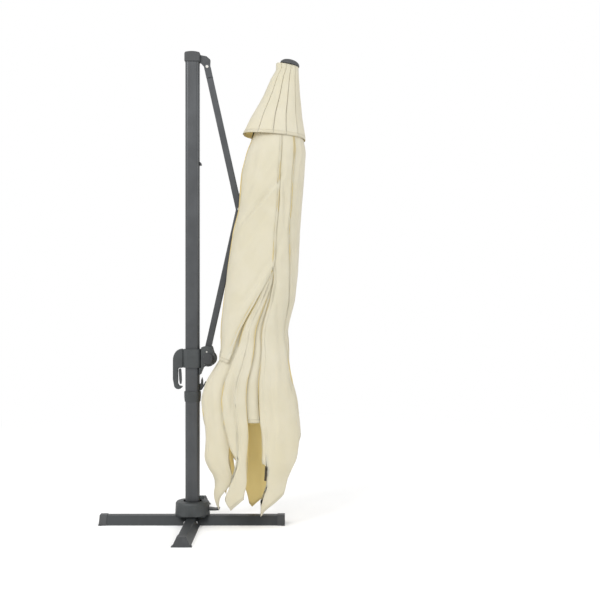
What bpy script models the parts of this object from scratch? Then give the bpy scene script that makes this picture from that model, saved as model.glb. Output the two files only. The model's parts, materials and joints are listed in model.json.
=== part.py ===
"""Cantilever parasol with its canopy closed and its arm lowered.

Metres, +Z up. The origin is on the mast's axis at the underside of the stand, and the arm
reaches towards +X. Every moving group hangs under an empty that sits on its joint.
"""

import math

import bmesh
import bpy
import numpy as np
from mathutils import Matrix, Vector

# ---- driving dimensions -------------------------------------------------------------------
touch_gap = 0.0003           # between pieces that rest on each other
run_gap = 0.0008             # between pieces that slide or turn on each other

# Cross stand
stand_reach = 0.505          # centre of the mast to the tip of an end cap
beam_bottom = 0.088          # width of the trapezoid profile at the ground
beam_top = 0.044
beam_height = 0.050
beam_wall = 0.0025
beam_clear = 0.004           # beam's end to the cap's outer face
cap_length = 0.036
cap_wall = 0.0025
cap_lip = 0.008              # cap's flange beyond the beam on each side
cap_lip_length = 0.016
cap_flange_height = 0.010

# Swivel
plate_side = 0.150
plate_thickness = 0.006
housing_radius = 0.095
housing_taper = 0.009        # how much the lid's edge is drawn in
housing_height = 0.072
housing_wall = 0.006
bevel_height = 0.011
foot_wall = 0.0034           # thinnest wall of the mast's socket round the post
post_height = 0.300
post_flange_radius = 0.050
foot_flange_thickness = 0.008
pedal_height = 0.026         # pedal's pin above the housing's floor
pedal_inset = 0.034          # the same pin inside the housing's rim
pedal_hub = 0.008
pedal_pin_radius = 0.003
pedal_length = 0.088
pedal_width = 0.046
pedal_room = 0.004           # recess beyond the pedal on each side

# Mast
mast_width = 0.077           # along X
mast_depth = 0.057           # along Y
mast_wall = 0.0025
mast_corner = 0.016
mast_top = 2.525
cap_height = 0.058
cap_rim = 0.004
lug_half = 0.011

# Linkage: strut and lower arm are equal, so the heel runs straight up the mast
pivot_out = 0.0423           # mast's face to the strut pivot and to the heel pivot
pivot_below_top = 0.0255     # strut pivot under the top of the mast
link_length = 0.7973
rest_angle = math.radians(12.6)
lift_angle = math.radians(56.0)
pin_radius = 0.005
pin_head = 0.003             # the head beyond the pin's radius
eye_wall = 0.0095            # metal round a pin in the mast cap's tongue

# Strut
strut_width = 0.035
strut_depth = 0.029
strut_wall = 0.002
fork_cheek = 0.004
fork_lap = 0.030

# Arm
arm_height = 0.034
arm_depth = 0.028
arm_wall = 0.002
heel_block = 0.060           # heel fitting before the tube starts
heel_plug = 0.060            # its plug inside the tube
hub_along = 1.6267           # from the heel pivot to the finial's base, along the arm
hub_beside = 0.0974          # the same, square to the arm
neck_length = 0.2917         # end of the arm's tube to the finial's base

# Hub
finial_radius = 0.054
finial_height = 0.031
head_plate_radius = 0.034
head_plate_thickness = 0.012
crown_radius = 0.041
crown_core = 0.021
crown_height = 0.046
crown_rim = 0.008
lower_hub_radius = 0.036
lower_hub_height = 0.040

# Ribs: length, and the way each hangs from the crown
rib_radial = 0.016
rib_tangential = 0.010
rib_wall = 0.0012
mid_rib_short = 1.500        # along the 3 m side
mid_rib_long = 1.900         # along the 4 m side
corner_rib = 2.230
stretcher_seat = 0.620       # crown to the stretcher's hinge, along a rib
stretcher_length = 0.640
stretcher_width = 0.008
stretcher_thickness = 0.005

# Cloth
cloth_thickness = 0.006
cloth_ground_gap = 0.080
seam = 0.0006                # half gap where the cover's halves meet
vent_gap = 0.008             # vent flap to the cover under it
vent_drop = 0.385
vent_raise = 0.004
vent_flare = 0.053           # how far the flap stands out over the arm at its hem

# Slider
sleeve_wall = 0.0075
liner_wall = 0.003
sleeve_height = 0.100
sleeve_below_heel = 0.0866
cheek_clear = 0.0025         # arm's side to the housing's inner face
cheek_outer = 0.046
reel_radius = 0.042
reel_offset_x = 0.008
reel_offset_z = -0.038
bearing_radius = 0.0070
drum_radius = 0.0170
drum_core = 0.0120
drum_room = 0.0020           # round the drum in its recess
grip_half = 0.016
grip_reach = 0.0569          # sleeve's face to the outside of the grip
grip_bar = 0.0275            # thickness of the finger bar
grip_rise = 0.0155           # top of the grip above the heel pivot
grip_under = 0.097           # underside of the grip's block below the heel pivot
grip_drop = 0.2055
trigger_inset = 0.038        # trigger's axis from the outside of the grip
trigger_drop = 0.100
trigger_length = 0.076
trigger_half = 0.0080
trigger_room = 0.0012
crank_radius = 0.031
crank_thickness = 0.007
shaft_radius = 0.0055
spindle_radius = 0.0030
knob_radius = 0.0075
knob_length = 0.020

# Stops on the mast
upper_stop_height = 0.022
upper_stop_reach = 0.012
stop_clearance = 0.012
collar_height = 0.055
collar_wall = 0.006

# ---- places worked out from them ----------------------------------------------------------
mast_x = mast_width / 2
mast_y = mast_depth / 2
lug_x = mast_x + touch_gap   # face of what sits on the mast
pivot_reach = mast_x + pivot_out
foot_x = mast_x - mast_wall - touch_gap
foot_y = mast_y - mast_wall - touch_gap
post_radius = foot_y - foot_wall - run_gap
cap_flange = beam_bottom + 2 * cap_lip
beam_end = stand_reach - beam_clear
housing_top_radius = housing_radius - housing_taper
pivot_z = mast_top - pivot_below_top
heel_z = pivot_z - 2 * link_length * math.cos(rest_angle)
heel_lift = 2 * link_length * (math.cos(rest_angle) - math.cos(rest_angle + lift_angle))
plate_z = beam_height + touch_gap
housing_z = plate_z + plate_thickness + touch_gap
sleeve_low = heel_z - sleeve_below_heel
sleeve_high = sleeve_low + sleeve_height
liner_outer_x = mast_x + run_gap + liner_wall
liner_outer_y = mast_y + run_gap + liner_wall
sleeve_x = liner_outer_x + touch_gap + sleeve_wall
sleeve_y = liner_outer_y + touch_gap + sleeve_wall
reel_x = pivot_reach + reel_offset_x
reel_z = heel_z + reel_offset_z
arm_y = arm_depth / 2
arm_tube_end = hub_along - neck_length
cheek_inner = arm_y + cheek_clear
grip_face = -(sleeve_x + grip_reach)
crank_face = -(cheek_outer + run_gap)
fork_inner = max(arm_depth, strut_depth) / 2 + run_gap
collar_top = heel_z - grip_drop - stop_clearance


def arm_point(along, beside, y=0.0):
    """World point of the arm's own frame: along it from the heel, and square to it."""
    s, c = math.sin(rest_angle), math.cos(rest_angle)
    return Vector((pivot_reach + along * s + beside * c, y, heel_z + along * c - beside * s))


elbow = arm_point(link_length, 0.0)
hub = arm_point(hub_along, hub_beside)

# ---- scene, materials and small tools -----------------------------------------------------
for old in list(bpy.data.objects):
    bpy.data.objects.remove(old)

scene = bpy.context.scene
finishes = {
    "anthracite_steel": ((0.060, 0.063, 0.066), 0.45, 0.35),
    "anthracite_aluminium": ((0.072, 0.075, 0.078), 0.40, 0.35),
    "dark_plastic": ((0.035, 0.037, 0.039), 0.50, 0.0),
    "grey_plastic": ((0.085, 0.087, 0.090), 0.55, 0.0),
    "bright_steel": ((0.55, 0.55, 0.56), 0.35, 1.0),
    "rib_steel": ((0.080, 0.070, 0.058), 0.50, 0.40),
    "sand_cloth": ((0.82, 0.79, 0.68), 0.90, 0.0),
}


def finish(name):
    colour, roughness, metallic = finishes[name]
    material = bpy.data.materials.get(name)
    if material is None:
        material = bpy.data.materials.new(name)
        material.use_nodes = True
        shader = material.node_tree.nodes["Principled BSDF"]
        shader.inputs["Base Color"].default_value = (*colour, 1.0)
        shader.inputs["Roughness"].default_value = roughness
        shader.inputs["Metallic"].default_value = metallic
        material.diffuse_color = (*colour, 1.0)
    return material


def joint_empty(name, place, parent=None):
    empty = bpy.data.objects.new(name, None)
    empty.empty_display_size = 0.05
    scene.collection.objects.link(empty)
    if parent is not None:
        empty.parent = parent
        empty.location = Vector(place) - parent.matrix_world.translation
    else:
        empty.location = place
    bpy.context.view_layer.update()
    return empty


def add_object(name, bm, material, parent):
    """Puts the bmesh, given in world places, under its parent empty."""
    bmesh.ops.recalc_face_normals(bm, faces=bm.faces)
    mesh = bpy.data.meshes.new(name)
    offset = parent.matrix_world.translation
    bmesh.ops.translate(bm, verts=bm.verts, vec=-offset)
    bm.to_mesh(mesh)
    bm.free()
    mesh.materials.append(finish(material))
    mesh.shade_smooth()
    mesh.set_sharp_from_angle(angle=math.radians(32))
    obj = bpy.data.objects.new(name, mesh)
    scene.collection.objects.link(obj)
    obj.parent = parent
    return obj


def arc(cx, cy, radius, start, end, steps):
    """Points of an arc in degrees, end included."""
    angles = np.radians(np.linspace(start, end, steps + 1))
    return [(cx + radius * math.cos(a), cy + radius * math.sin(a)) for a in angles]


def rounded_box(half_x, half_y, radius, steps=3):
    """Outline of a rectangle with round corners."""
    points = []
    for sx, sy, start in ((1, 1, 0), (-1, 1, 90), (-1, -1, 180), (1, -1, 270)):
        cx, cy = sx * (half_x - radius), sy * (half_y - radius)
        points += arc(cx, cy, radius, start, start + 90, steps)
    return points


def prism(outline, low, high, axis="Z", hole=None):
    """Outline extruded from low to high. Along Z it lies in XY, along Y in XZ, along X in YZ."""
    places = {
        "Z": lambda p, h: (p[0], p[1], h),
        "Y": lambda p, h: (p[0], h, p[1]),
        "X": lambda p, h: (h, p[0], p[1]),
    }[axis]
    bm = bmesh.new()
    rings = []
    for line in (outline,) if hole is None else (outline, hole):
        rings.append([[bm.verts.new(places(p, h)) for p in line] for h in (low, high)])
    for bottom, top in rings:
        count = len(bottom)
        for i in range(count):
            j = (i + 1) % count
            bm.faces.new((bottom[i], bottom[j], top[j], top[i]))
    if hole is None:
        bm.faces.new(rings[0][0])
        bm.faces.new(rings[0][1])
    else:
        for level in (0, 1):
            outer, inner = rings[0][level], rings[1][level]
            for i in range(len(outer)):
                j = (i + 1) % len(outer)
                bm.faces.new((outer[i], outer[j], inner[j], inner[i]))
    return bm


def turned(profile, centre, axis="Z", steps=24):
    """Closed outline of (radius, height) points spun round the axis through centre."""
    bm = bmesh.new()
    on_axis = [abs(r) < 1e-6 for r, h in profile]
    verts = [bm.verts.new((r, 0.0, h)) for r, h in profile]
    edges = [bm.edges.new((verts[i], verts[i + 1])) for i in range(len(verts) - 1)]
    if not (on_axis[0] and on_axis[-1]):
        edges.append(bm.edges.new((verts[-1], verts[0])))
    bmesh.ops.spin(
        bm, geom=verts + edges, axis=(0, 0, 1), cent=(0, 0, 0), angle=2 * math.pi,
        steps=steps, use_merge=True, use_duplicate=False,
    )
    bmesh.ops.remove_doubles(bm, verts=bm.verts, dist=1e-5)
    turn = {"Z": Matrix.Identity(4), "Y": Matrix.Rotation(math.radians(90), 4, "X"),
            "X": Matrix.Rotation(math.radians(90), 4, "Y")}[axis]
    bmesh.ops.transform(bm, matrix=Matrix.Translation(centre) @ turn, verts=bm.verts)
    return bm


def rod(start, end, radius, steps=16):
    """Solid round rod between two points."""
    start, end = Vector(start), Vector(end)
    bm = bmesh.new()
    length = (end - start).length
    bmesh.ops.create_cone(bm, cap_ends=True, segments=steps, radius1=radius, radius2=radius, depth=length)
    turn = Vector((0, 0, 1)).rotation_difference(end - start).to_matrix().to_4x4()
    middle = Matrix.Translation((start + end) / 2)
    bmesh.ops.transform(bm, matrix=middle @ turn, verts=bm.verts)
    return bm


def placed(bm, matrix):
    bmesh.ops.transform(bm, matrix=matrix, verts=bm.verts)
    return bm


def along_line(start, end, width_hint=(0, 1, 0)):
    """Frame at start: local Z towards end, local Y near the hint, local X square to both."""
    z = (Vector(end) - Vector(start)).normalized()
    x = Vector(width_hint).cross(z).normalized()
    y = z.cross(x)
    frame = Matrix((x, y, z)).transposed().to_4x4()
    return Matrix.Translation(start) @ frame


def box_tube(start, end, size_x, size_y, wall, radius, hint=(0, 1, 0)):
    """Hollow profile between two points, open at both ends."""
    length = (Vector(end) - Vector(start)).length
    outer = rounded_box(size_x / 2, size_y / 2, radius)
    inner = rounded_box(size_x / 2 - wall, size_y / 2 - wall, max(radius - wall, 0.0004))
    return placed(prism(outer, 0.0, length, hole=inner), along_line(start, end, hint))


def cut(obj, bm, parent, operation="DIFFERENCE"):
    """Boolean with a helper that the render leaves out."""
    helper = add_object(f"{obj.name}_{len(obj.modifiers)}_{operation.lower()}", bm, "dark_plastic", parent)
    helper.hide_render = True
    helper.display_type = "WIRE"
    modifier = obj.modifiers.new(operation.title(), "BOOLEAN")
    modifier.operation = operation
    modifier.solver = "EXACT"
    modifier.object = helper


def soften(obj, width, segments=1, angle=35):
    modifier = obj.modifiers.new("Bevel", "BEVEL")
    modifier.width = width
    modifier.segments = segments
    modifier.limit_method = "ANGLE"
    modifier.angle_limit = math.radians(angle)


# ---- joints -------------------------------------------------------------------------------
base = joint_empty("base_origin", (0, 0, 0))
pedal_z = housing_z + pedal_height
pedal_axis = Vector((housing_radius - pedal_inset, 0, pedal_z))
pedal = joint_empty("pedal_press", pedal_axis, base)
mast = joint_empty("mast_swivel", (0, 0, housing_z), base)
strut = joint_empty("strut_lift", (pivot_reach, 0, pivot_z), mast)
arm = joint_empty("arm_fold", elbow, strut)
slider = joint_empty("slider_pivot", (pivot_reach, 0, heel_z), arm)
trigger_axis = Vector((grip_face + trigger_inset, 0, heel_z - trigger_drop))
trigger = joint_empty("trigger_squeeze", trigger_axis, slider)
crank = joint_empty("crank_turn", (reel_x, 0, reel_z), slider)
knob_offset = crank_radius - knob_radius - 0.003
knob = joint_empty("knob_spin", (reel_x + knob_offset, 0, reel_z), crank)


# ---- cross stand --------------------------------------------------------------------------
def beam_outline(inset=0.0):
    """Trapezoid across the beam, with its width first and its height second."""
    slope = (beam_bottom - beam_top) / 2 / beam_height
    low = beam_bottom / 2 - inset * (1 + slope)
    high = beam_top / 2 - inset * (1 - slope * 0.5)
    return [(-low, inset), (low, inset), (high, beam_height - inset), (-high, beam_height - inset)]


cross = prism(beam_outline(), -beam_end + touch_gap, beam_end - touch_gap, "X", hole=beam_outline(beam_wall))
add_object("cross_beam", cross, "anthracite_steel", base)

half_start = beam_bottom / 2 + touch_gap
for name, side in (("front", -1), ("rear", 1)):
    low, high = sorted((side * half_start, side * (beam_end - touch_gap)))
    half = prism(beam_outline(), low, high, "Y", hole=beam_outline(beam_wall))
    add_object(f"half_beam_{name}", half, "anthracite_steel", base)


def end_cap(name, angle):
    """Shoe over the beam's end: two sides, a top and an end wall, with a lip along the ground."""
    turn = Matrix.Rotation(angle, 4, "Z")
    shoe = prism(beam_outline(-cap_wall), beam_end - cap_length, stand_reach, "X")
    bmesh.ops.translate(shoe, verts=[v for v in shoe.verts if v.co.z < 0], vec=(0, 0, cap_wall))
    cap = add_object(name, placed(shoe, turn), "dark_plastic", base)
    half = cap_flange / 2
    slope_half = beam_bottom / 2 + cap_wall
    outline = [(-half, 0), (half, 0), (half, cap_flange_height * 0.4), (slope_half, cap_flange_height),
               (-slope_half, cap_flange_height), (-half, cap_flange_height * 0.4)]
    lip = prism(outline, stand_reach - cap_lip_length, stand_reach + 0.0005, "X")
    cut(cap, placed(lip, turn), base, "UNION")
    inside = beam_outline(-1.5 * touch_gap)
    below = [(inside[0][0], -0.01), (inside[1][0], -0.01)]
    room = prism(below + inside[1:] + inside[:1], beam_end - cap_length - 0.01, beam_end, "X")
    cut(cap, placed(room, turn), base)


for cap_name, degrees in (("right", 0), ("rear", 90), ("left", 180), ("front", 270)):
    end_cap(f"end_cap_{cap_name}", math.radians(degrees))

plate = prism(rounded_box(plate_side / 2, plate_side / 2, 0.012), plate_z, plate_z + plate_thickness)
add_object("base_plate", plate, "anthracite_steel", base)

# ---- swivel -------------------------------------------------------------------------------
post_foot = 0.006            # the post's flange, and the cone above it
post_cone = 0.004
foot_flange_z = housing_z + post_foot + post_cone + 0.002
housing_top = housing_z + housing_height
housing_mouth = math.hypot(mast_x, mast_y) + 0.003
foot_flange_radius = housing_mouth + 0.0091

post = turned(
    [(0.0, housing_z), (post_flange_radius, housing_z), (post_flange_radius, housing_z + post_foot),
     (post_radius, housing_z + post_foot + post_cone),
     (post_radius, housing_z + post_height - 0.004), (post_radius - 0.004, housing_z + post_height),
     (0.0, housing_z + post_height)],
    (0, 0, 0),
)
add_object("swivel_post", post, "bright_steel", base)

housing_profile = [
    (housing_radius, housing_z), (housing_radius - 0.003, housing_z + housing_height - bevel_height),
    (housing_top_radius, housing_top - 0.003), (housing_mouth + 0.004, housing_top),
    (housing_mouth, housing_top - 0.001), (housing_mouth, housing_top - housing_wall),
    (housing_top_radius - housing_wall, housing_top - housing_wall - bevel_height * 0.5),
    (housing_radius - housing_wall - 0.003, housing_z + housing_height - bevel_height - 0.004),
    (housing_radius - housing_wall, housing_z),
]
housing = add_object("swivel_housing", turned(housing_profile, (0, 0, 0), steps=36), "grey_plastic", base)
recess_half = pedal_width / 2 + pedal_room
recess_low = pedal_z - 0.020
recess_high = pedal_z + 0.022
recess_inner, recess_outer = housing_radius - pedal_inset, housing_radius + 0.025
window = prism(
    [(recess_inner, -recess_half), (recess_outer, -recess_half), (recess_outer, recess_half),
     (recess_inner, recess_half)],
    recess_low, recess_high,
)
cut(housing, window, base)

pedal_pin_half = recess_half + 0.008
pedal_pin = rod((pedal_axis.x, -pedal_pin_half, pedal_z), (pedal_axis.x, pedal_pin_half, pedal_z),
                pedal_pin_radius)
add_object("pedal_pin", pedal_pin, "bright_steel", base)

# The pedal: a hub round its pin, a bent plate and a raised toe
pedal_toe = pedal_axis.x + pedal_length
pedal_outline = (
    arc(pedal_axis.x, pedal_z, pedal_hub, 200, 60, 6)
    + [(pedal_axis.x + 0.024, pedal_z + pedal_hub), (pedal_toe - 0.024, pedal_z + 0.002),
       (pedal_toe - 0.004, pedal_z + 0.006), (pedal_toe, pedal_z + 0.002), (pedal_toe - 0.002, pedal_z - 0.004),
       (pedal_toe - 0.026, pedal_z - 0.006), (pedal_axis.x + 0.010, pedal_z - 0.006)]
)
foot_pedal = add_object("foot_pedal", prism(pedal_outline, -pedal_width / 2, pedal_width / 2, "Y"),
                        "dark_plastic", pedal)
pedal_bore = rod((pedal_axis.x, -pedal_width, pedal_z), (pedal_axis.x, pedal_width, pedal_z),
                 pedal_pin_radius + touch_gap)
cut(foot_pedal, pedal_bore, pedal)

# ---- mast ---------------------------------------------------------------------------------
mast_low = housing_top + 0.004
mast_outline = rounded_box(mast_x, mast_y, mast_corner, 4)
mast_hole = rounded_box(mast_x - mast_wall, mast_y - mast_wall, mast_corner - mast_wall, 4)
add_object("mast_tube", prism(mast_outline, mast_low, mast_top, hole=mast_hole), "anthracite_aluminium", mast)

# Socket inside the tube, its neck through the housing's mouth and its flange under the lid
socket_outer = rounded_box(foot_x, foot_y, mast_corner - mast_wall, 4)
socket_length = 0.16         # of the socket inside the tube
socket_body = prism(socket_outer, foot_flange_z + foot_flange_thickness / 2, mast_low + socket_length)
socket = add_object("mast_foot", socket_body, "anthracite_steel", mast)
flange = turned(
    [(0.0, foot_flange_z), (foot_flange_radius, foot_flange_z),
     (foot_flange_radius, foot_flange_z + foot_flange_thickness),
     (0.0, foot_flange_z + foot_flange_thickness)], (0, 0, 0), steps=32)
cut(socket, flange, mast, "UNION")
shoulder_low = mast_low - touch_gap - 0.008
shoulder = prism(rounded_box(mast_x, mast_y, mast_corner, 4), shoulder_low, mast_low - touch_gap)
cut(socket, shoulder, mast, "UNION")
bore_radius = post_radius + run_gap
cut(socket, rod((0, 0, foot_flange_z - 0.05), (0, 0, housing_z + post_height + 0.02), bore_radius, 24), mast)

# Locking lug that stands beside the mast on the housing's lid
lug_outline = [(lug_x, mast_low + 0.002), (lug_x + 0.025, mast_low + 0.002), (lug_x + 0.027, mast_low + 0.016),
               (lug_x + 0.022, mast_low + 0.021), (lug_x, mast_low + 0.021)]
lug = add_object("mast_lug", prism(lug_outline, -lug_half, lug_half, "Y"), "grey_plastic", mast)
soften(lug, 0.002)


def mast_cap():
    """Domed cap over the tube, whose tongue slopes down to the strut's pivot."""
    low = mast_top + touch_gap
    high = mast_top + cap_height
    left = -(mast_x + cap_rim)
    right = mast_x + cap_rim
    dome = arc(-0.004, high - 0.150, 0.150, 104, 72, 8)
    body = [(left, low), (right, low), (right, high - 0.022)]
    body += [p for p in reversed(dome) if left < p[0] < right]
    body += [(left, high - 0.012)]
    cap = add_object("mast_cap", prism(body, -(mast_y + cap_rim), mast_y + cap_rim, "Y"), "dark_plastic", mast)
    soften(cap, 0.006, 2)
    tongue_half = arm_y + touch_gap
    tip = pin_radius + eye_wall
    tongue = [(0.0, low + 0.004), (right, low), (pivot_reach - tip, pivot_z)]
    tongue += arc(pivot_reach, pivot_z, tip, 180, 360, 8)
    tongue += [(pivot_reach + tip + 0.002, low + 0.014), (pivot_reach - 0.004, low + 0.032),
               (right - 0.004, high - 0.019), (0.0, high - 0.010)]
    cut(cap, prism(tongue, -tongue_half, tongue_half, "Y"), mast, "UNION")
    cut(cap, rod((pivot_reach, -0.06, pivot_z), (pivot_reach, 0.06, pivot_z), pin_radius + touch_gap), mast)


mast_cap()
pin_half = fork_inner + fork_cheek + 0.003


def pin(name, centre, parent, half=pin_half):
    """Pin along Y with a flat head at each end, seated clear of the cheeks."""
    head = half - 0.0025
    rim = pin_radius + pin_head
    profile = [(0.0, -half), (rim, -half), (rim, -head), (pin_radius, -head),
               (pin_radius, head), (rim, head), (rim, half), (0.0, half)]
    add_object(name, turned(profile, centre, "Y", 16), "bright_steel", parent)


pin("strut_pivot_pin", (pivot_reach, 0, pivot_z), mast)

upper_stop_z = sleeve_high + heel_lift + stop_clearance + 0.018
stop_outline = [(lug_x, upper_stop_z + upper_stop_height), (lug_x, upper_stop_z),
                (lug_x + upper_stop_reach, upper_stop_z),
                (lug_x + upper_stop_reach * 0.8, upper_stop_z + upper_stop_height * 0.55)]
upper_stop = add_object("upper_stop", prism(stop_outline, -0.010, 0.010, "Y"), "dark_plastic", mast)
soften(upper_stop, 0.0015)

# Lower stop: a ring round the mast, tapered underneath
collar_inner_x, collar_inner_y = mast_x + touch_gap, mast_y + touch_gap
collar = bmesh.new()
collar_rings = []
for grow, height in ((collar_wall, 0.0), (collar_wall, -0.030), (0.003, -collar_height)):
    outline = rounded_box(collar_inner_x + grow, collar_inner_y + grow, mast_corner + grow, 4)
    collar_rings.append([collar.verts.new((x, y, collar_top + height)) for x, y in outline])
inner_outline = rounded_box(collar_inner_x, collar_inner_y, mast_corner, 4)
for height in (-collar_height, 0.0):
    collar_rings.append([collar.verts.new((x, y, collar_top + height)) for x, y in inner_outline])
for k, ring in enumerate(collar_rings):
    following = collar_rings[(k + 1) % len(collar_rings)]
    for i in range(len(ring)):
        j = (i + 1) % len(ring)
        collar.faces.new((ring[i], ring[j], following[j], following[i]))
add_object("lower_stop", collar, "grey_plastic", mast)

# Cleat: a foot on the mast and two upward prongs
cleat_low = collar_top + touch_gap
cleat_outline = [
    (lug_x, cleat_low + 0.002), (lug_x + 0.012, cleat_low + 0.008), (lug_x + 0.034, cleat_low + 0.042),
    (lug_x + 0.036, cleat_low + 0.058), (lug_x + 0.029, cleat_low + 0.050), (lug_x + 0.020, cleat_low + 0.034),
    (lug_x + 0.019, cleat_low + 0.058), (lug_x + 0.014, cleat_low + 0.078), (lug_x + 0.008, cleat_low + 0.062),
    (lug_x + 0.007, cleat_low + 0.044), (lug_x, cleat_low + 0.040),
]
cleat = add_object("cleat", prism(cleat_outline, -0.007, 0.007, "Y"), "dark_plastic", mast)
soften(cleat, 0.0015)


# ---- strut --------------------------------------------------------------------------------
def fork(name, pivot, toward, web_start, parent):
    """Clevis: two cheeks with a round end on the pivot, joined by a web in front of the tube."""
    length = web_start + 0.012 + fork_lap
    half = strut_width / 2
    cheek = arc(0, 0, half, 180, 360, 10) + [(half, length), (-half, length)]
    outer = fork_inner + fork_cheek
    frame = along_line(pivot, toward)
    obj = add_object(name, placed(prism(cheek, -outer, outer, "Y"), frame), "anthracite_steel", parent)
    mouth = [(-half * 2, -half * 2), (half * 2, -half * 2), (half * 2, web_start), (-half * 2, web_start)]
    cut(obj, placed(prism(mouth, -fork_inner, fork_inner, "Y"), frame), parent)
    socket_low = web_start + 0.012
    beyond = length + 0.02
    seat = [(-half * 2, socket_low), (half * 2, socket_low), (half * 2, beyond), (-half * 2, beyond)]
    seat_half = strut_depth / 2 + touch_gap
    cut(obj, placed(prism(seat, -seat_half, seat_half, "Y"), frame), parent)
    hole = rod((0, -0.05, 0), (0, 0.05, 0), pin_radius + touch_gap)
    cut(obj, placed(hole, frame), parent)
    return socket_low


pivot_point = Vector((pivot_reach, 0, pivot_z))
fold_angle = 2 * rest_angle
lower_web = (arm_height / 2 + 0.002 + strut_width / 2 * math.cos(fold_angle)) / math.sin(fold_angle)
upper_web = pin_radius + eye_wall + 0.004
upper_seat = fork("strut_upper_fork", pivot_point, elbow, upper_web, strut)
lower_seat = fork("strut_lower_fork", elbow, pivot_point, lower_web, strut)
strut_way = (elbow - pivot_point).normalized()
strut_tube = box_tube(
    pivot_point + strut_way * (upper_seat + touch_gap), elbow - strut_way * (lower_seat + touch_gap),
    strut_width, strut_depth, strut_wall, 0.004,
)
add_object("strut_tube", strut_tube, "anthracite_aluminium", strut)
pin("strut_arm_pin", elbow, strut)

# ---- arm ----------------------------------------------------------------------------------
heel = arm_point(0, 0)
arm_tube = add_object(
    "arm_tube", box_tube(arm_point(heel_block + touch_gap, 0), arm_point(arm_tube_end, 0),
                         arm_height, arm_depth, arm_wall, 0.004),
    "anthracite_aluminium", arm)
cut(arm_tube, rod((elbow.x, -0.05, elbow.z), (elbow.x, 0.05, elbow.z), pin_radius + touch_gap), arm)

# Heel: eye on the slider's pin, with a plug that runs up into the tube
arm_frame = along_line(heel, elbow)
eye = arc(0, 0, arm_height / 2, 180, 360, 10) + [(arm_height / 2, heel_block), (-arm_height / 2, heel_block)]
arm_heel = add_object("arm_heel", placed(prism(eye, -arm_y, arm_y, "Y"), arm_frame), "anthracite_steel", arm)
plug_x = arm_height / 2 - arm_wall - touch_gap
plug_y = arm_y - arm_wall - touch_gap
plug = prism(rounded_box(plug_x, plug_y, 0.002), heel_block - 0.010, heel_block + heel_plug)
cut(arm_heel, placed(plug, arm_frame), arm, "UNION")
cut(arm_heel, placed(rod((0, -0.05, 0), (0, 0.05, 0), pin_radius + touch_gap), arm_frame), arm)


def head_bracket():
    """Swan neck from the arm's end over the ribs' roots to the plate above the crown."""
    plate_high = hub_along - touch_gap
    plate_low = plate_high - head_plate_thickness
    fit = plug_x - 0.0012
    foot = arm_tube_end + touch_gap
    knee = arm_tube_end + 0.30 * neck_length
    shoulder = arm_tube_end + 0.65 * neck_length
    beside = hub_beside - crown_radius - 0.012
    sides = [(foot - 0.070, -fit), (foot, -fit), (foot, -arm_height / 2), (knee, 0.011),
             (shoulder, beside - 0.009), (plate_high, beside - 0.009), (plate_high, hub_beside), (plate_low, hub_beside),
             (plate_low, beside + 0.006), (shoulder, beside + 0.008), (knee, 0.038), (foot, arm_height / 2),
             (foot, fit), (foot - 0.070, fit)]
    outline = [(p.x, p.z) for p in (arm_point(u, v) for u, v in sides)]
    neck_half = plug_y - 0.0012
    neck = add_object("head_bracket", prism(outline, -neck_half, neck_half, "Y"), "anthracite_steel", arm)
    frame = along_line(arm_point(plate_low, hub_beside), arm_point(plate_high, hub_beside))
    disc = prism(rounded_box(head_plate_radius, head_plate_radius, head_plate_radius - 0.002, 5),
                 0.0, head_plate_thickness)
    cut(neck, placed(disc, frame), arm, "UNION")
    return plate_low


plate_low = head_bracket()
hub_frame = along_line(arm_point(hub_along, hub_beside), arm_point(hub_along + 0.1, hub_beside))
dome = [(0.0, touch_gap), (finial_radius, touch_gap), (finial_radius, 0.004)]
dome += [(finial_radius * math.cos(a) ** 0.8, 0.004 + (finial_height - 0.004) * math.sin(a))
         for a in np.radians(np.linspace(12, 78, 6))]
dome += [(0.0, finial_height)]
add_object("finial", placed(turned(dome, (0, 0, 0), steps=28), hub_frame), "dark_plastic", arm)

crown_top = plate_low - touch_gap
crown_profile = [(0.0, -crown_height), (crown_core * 0.6, -crown_height), (crown_core, -crown_rim),
                 (crown_radius, -crown_rim), (crown_radius, 0.0), (0.0, 0.0)]
crown_frame = along_line(arm_point(crown_top, hub_beside), arm_point(crown_top + 0.1, hub_beside))
add_object("crown", placed(turned(crown_profile, (0, 0, 0), steps=24), crown_frame), "dark_plastic", arm)

# ---- ribs and stretchers ------------------------------------------------------------------
# Each rib hangs from the crown at a compass angle. The last two numbers are how far it would
# travel in X and Y over the whole drop of the cloth, so the ribs stay inside a longer cover.
cloth_drop = hub.z - cloth_ground_gap
rib_plan = {
    "left_mid": (180, mid_rib_short, -0.4944, 0.0),
    "front_left": (225, corner_rib, -0.2782, -0.1093),
    "front_mid": (270, mid_rib_long, -0.2187, -0.1798),
    "front_right": (315, corner_rib, -0.1543, -0.1093),
    "right_mid": (0, mid_rib_short, -0.1628, 0.0),
    "rear_right": (45, corner_rib, -0.1543, 0.1093),
    "rear_mid": (90, mid_rib_long, -0.2187, 0.1798),
    "rear_left": (135, corner_rib, -0.2782, 0.1093),
}
rib_circle = crown_core + touch_gap * 3 + rib_radial / 2
rib_top = -crown_rim - touch_gap - 0.004
rib_lines = {}
for name, (compass, length, travel_x, travel_y) in rib_plan.items():
    out = Vector((math.cos(math.radians(compass)), math.sin(math.radians(compass)), 0))
    root = crown_frame @ (out * rib_circle + Vector((0, 0, rib_top)))
    way = Vector((travel_x, travel_y, -cloth_drop)).normalized()
    rib_lines[name] = (root, way, length, out)
    start, end = root, root + way * length
    side_hint = Vector((-out.y, out.x, 0.0))
    rib = box_tube(start, end, rib_radial, rib_tangential, rib_wall, 0.0015, side_hint)
    add_object(f"rib_{name}", rib, "rib_steel", arm)

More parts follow.
